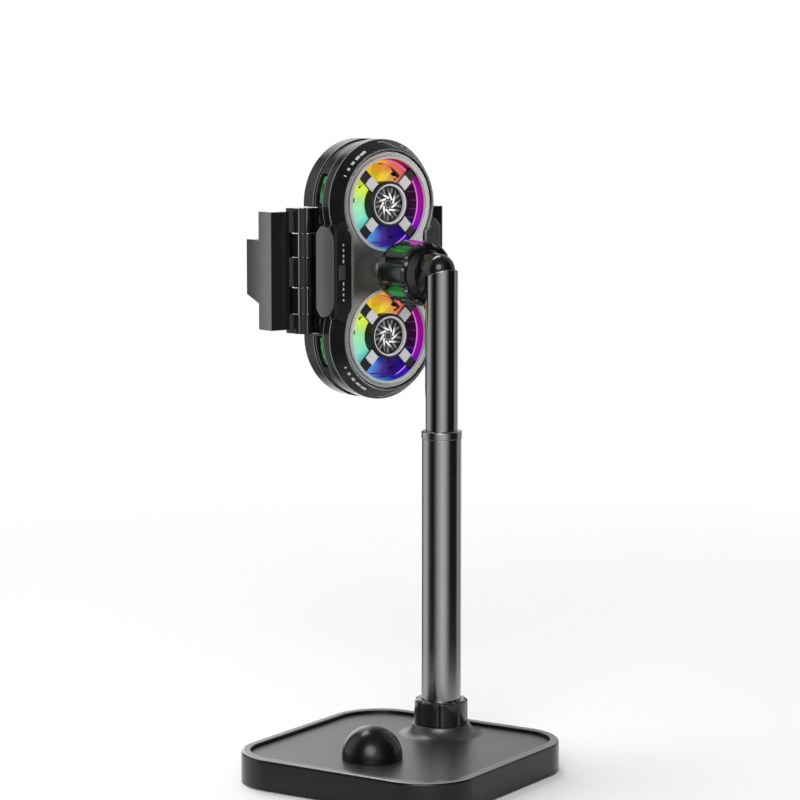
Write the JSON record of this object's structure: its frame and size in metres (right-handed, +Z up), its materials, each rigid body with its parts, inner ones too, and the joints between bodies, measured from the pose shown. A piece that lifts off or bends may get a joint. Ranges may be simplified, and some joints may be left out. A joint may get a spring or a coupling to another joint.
{
  "type": "phone cooling fan",
  "caption": "Two-fan phone cooler held by a ball joint on a telescopic mast above a square weighted base, with folding jaws that grip a phone from both sides.",
  "frame": {"origin": "on the table, on the mast's axis", "axes": "+Z up the mast, -Y the way the fans face, +Y towards the phone, +X to the right seen from the fans' side"},
  "size_m": [0.1305, 0.1421, 0.2478],
  "materials": {
    "base_satin": "satin black paint",
    "deck_satin": "satin grey paint",
    "dome_gloss": "glossy black",
    "weight_iron": "raw cast plate",
    "cover_black": "matte",
    "mat_rubber": "matte rubber",
    "fixing_steel": "plain steel",
    "nylon": "natural nylon",
    "mast_gunmetal": "anodised, glossy",
    "nut_gunmetal": "anodised",
    "horn_gloss": "glossy black",
    "stud_steel": "polished",
    "bezel_gloss": "glossy black",
    "plate_gloss": "glossy black",
    "guard_silver": "silver",
    "cap_black": "black with a silver pattern",
    "ring_light": "lit in changing colours",
    "board_green": "solder mask",
    "rotor_smoke": "smoked plastic",
    "motor_black": "matte",
    "sink_aluminium": "raw",
    "peltier_white": "ceramic",
    "pad_rubber": "soft",
    "frame_slate": "satin slate",
    "grip_grey": "matte grey",
    "jaw_grey": "satin grey",
    "slide_black": "matte",
    "inlet_steel": "plain",
    "button_grey": "satin"
  },
  "bodies": {
    "base": {"base_shell": "base_satin", "deck_panel": "deck_satin", "base_dome": "dome_gloss", "base_weight": "weight_iron", "bottom_cover": "cover_black", "rubber_mat": "mat_rubber", "base_screws": "fixing_steel", "mast_bolt": "fixing_steel", "mast_washer": "fixing_steel", "mast_plug": "nylon", "outer_tube": "mast_gunmetal", "tube_collar": "mast_gunmetal"},
    "mast_clamp": {"mast_nut": "nut_gunmetal"},
    "slider": {"swivel_plug": "nylon"},
    "inner_mast": {"inner_tube": "mast_gunmetal", "elbow": "horn_gloss"},
    "ball_clamp": {"ball_lock_nut": "horn_gloss"},
    "outer_liner": {"outer_ball_liner": "nylon"},
    "inner_liner": {"inner_ball_liner": "nylon"},
    "cooler": {"ball_stud": "stud_steel", "front_bezel": "bezel_gloss", "face_plate": "plate_gloss", "mid_frame": "frame_slate", "rear_case": "frame_slate", "upper_fan_guard": "guard_silver", "lower_fan_guard": "guard_silver", "upper_hub_cap": "cap_black", "lower_hub_cap": "cap_black", "upper_light_ring": "ring_light", "lower_light_ring": "ring_light", "upper_led_board": "board_green", "lower_led_board": "board_green", "upper_fan_motor": "motor_black", "lower_fan_motor": "motor_black", "upper_heat_sink": "sink_aluminium", "lower_heat_sink": "sink_aluminium", "upper_peltier": "peltier_white", "lower_peltier": "peltier_white", "cold_plate": "sink_aluminium", "cooling_pad": "pad_rubber", "left_grip_panel": "grip_grey", "right_grip_panel": "grip_grey", "main_board": "board_green", "usb_inlet": "inlet_steel", "case_screws": "fixing_steel", "pinion_axle": "fixing_steel"},
    "upper_rotor": {"upper_impeller": "rotor_smoke", "upper_rotor_shaft": "fixing_steel"},
    "lower_rotor": {"lower_impeller": "rotor_smoke", "lower_rotor_shaft": "fixing_steel"},
    "button": {"mode_button": "button_grey"},
    "pinion": {"jaw_pinion": "slide_black"},
    "left_carriage": {"left_jaw_carriage": "slide_black", "left_hinge_pin": "fixing_steel"},
    "right_carriage": {"right_jaw_carriage": "slide_black", "right_hinge_pin": "fixing_steel"},
    "left_jaw": {"left_jaw": "jaw_grey", "left_jaw_pad": "pad_rubber"},
    "right_jaw": {"right_jaw": "jaw_grey", "right_jaw_pad": "pad_rubber"}
  },
  "joints": [
    {"name": "mast_nut_turn", "type": "hinge", "parent": "base", "child": "mast_clamp", "pos_m": [0, 0, 0.0203], "axis": [0, 0, 1], "range_deg": [0, 90]},
    {"name": "mast_slide", "type": "slide", "parent": "base", "child": "slider", "axis": [0, 0, 1], "range_m": [-0.045, 0.02]},
    {"name": "mast_swivel", "type": "hinge", "parent": "slider", "child": "inner_mast", "pos_m": [0, 0, 0.13], "axis": [0, 0, 1], "continuous": true},
    {"name": "ball_nut_turn", "type": "hinge", "parent": "inner_mast", "child": "ball_clamp", "pos_m": [0, 0.022, 0.1951], "axis": [0, 1, 0], "range_deg": [0, 60]},
    {"name": "ball_pan", "type": "hinge", "parent": "inner_mast", "child": "outer_liner", "pos_m": [0, 0.022, 0.1951], "axis": [0, 0, 1], "range_deg": [-24, 24]},
    {"name": "ball_tilt", "type": "hinge", "parent": "outer_liner", "child": "inner_liner", "pos_m": [0, 0.022, 0.1951], "axis": [1, 0, 0], "range_deg": [-22, 22]},
    {"name": "ball_roll", "type": "hinge", "parent": "inner_liner", "child": "cooler", "pos_m": [0, 0.022, 0.1951], "axis": [0, 1, 0], "continuous": true},
    {"name": "upper_fan_spin", "type": "hinge", "parent": "cooler", "child": "upper_rotor", "pos_m": [0, 0.043, 0.2218], "axis": [0, 1, 0], "continuous": true},
    {"name": "lower_fan_spin", "type": "hinge", "parent": "cooler", "child": "lower_rotor", "pos_m": [0, 0.043, 0.1684], "axis": [0, 1, 0], "continuous": true},
    {"name": "mode_button_press", "type": "slide", "parent": "cooler", "child": "button", "axis": [0, 1, 0], "range_m": [0, 0.0005], "stiffness_N_per_m": 400},
    {"name": "left_jaw_slide", "type": "slide", "parent": "cooler", "child": "left_carriage", "axis": [1, 0, 0], "range_m": [-0.005, 0.005]},
    {"name": "right_jaw_slide", "type": "slide", "parent": "cooler", "child": "right_carriage", "axis": [-1, 0, 0], "range_m": [-0.005, 0.005]},
    {"name": "pinion_turn", "type": "hinge", "parent": "cooler", "child": "pinion", "pos_m": [0, 0.0531, 0.1951], "axis": [0, 1, 0], "range_deg": [-75, 75]},
    {"name": "left_jaw_fold", "type": "hinge", "parent": "left_carriage", "child": "left_jaw", "pos_m": [-0.03, 0.0525, 0.1951], "axis": [0, 0, 1], "range_deg": [-80, 0]},
    {"name": "right_jaw_fold", "type": "hinge", "parent": "right_carriage", "child": "right_jaw", "pos_m": [0.03, 0.0525, 0.1951], "axis": [0, 0, 1], "range_deg": [0, 80]}
  ],
  "couplings": [
    {"joint": "right_jaw_slide", "follows": "left_jaw_slide", "ratio": 1},
    {"joint": "pinion_turn", "follows": "left_jaw_slide", "rad_per_m": 250}
  ]
}
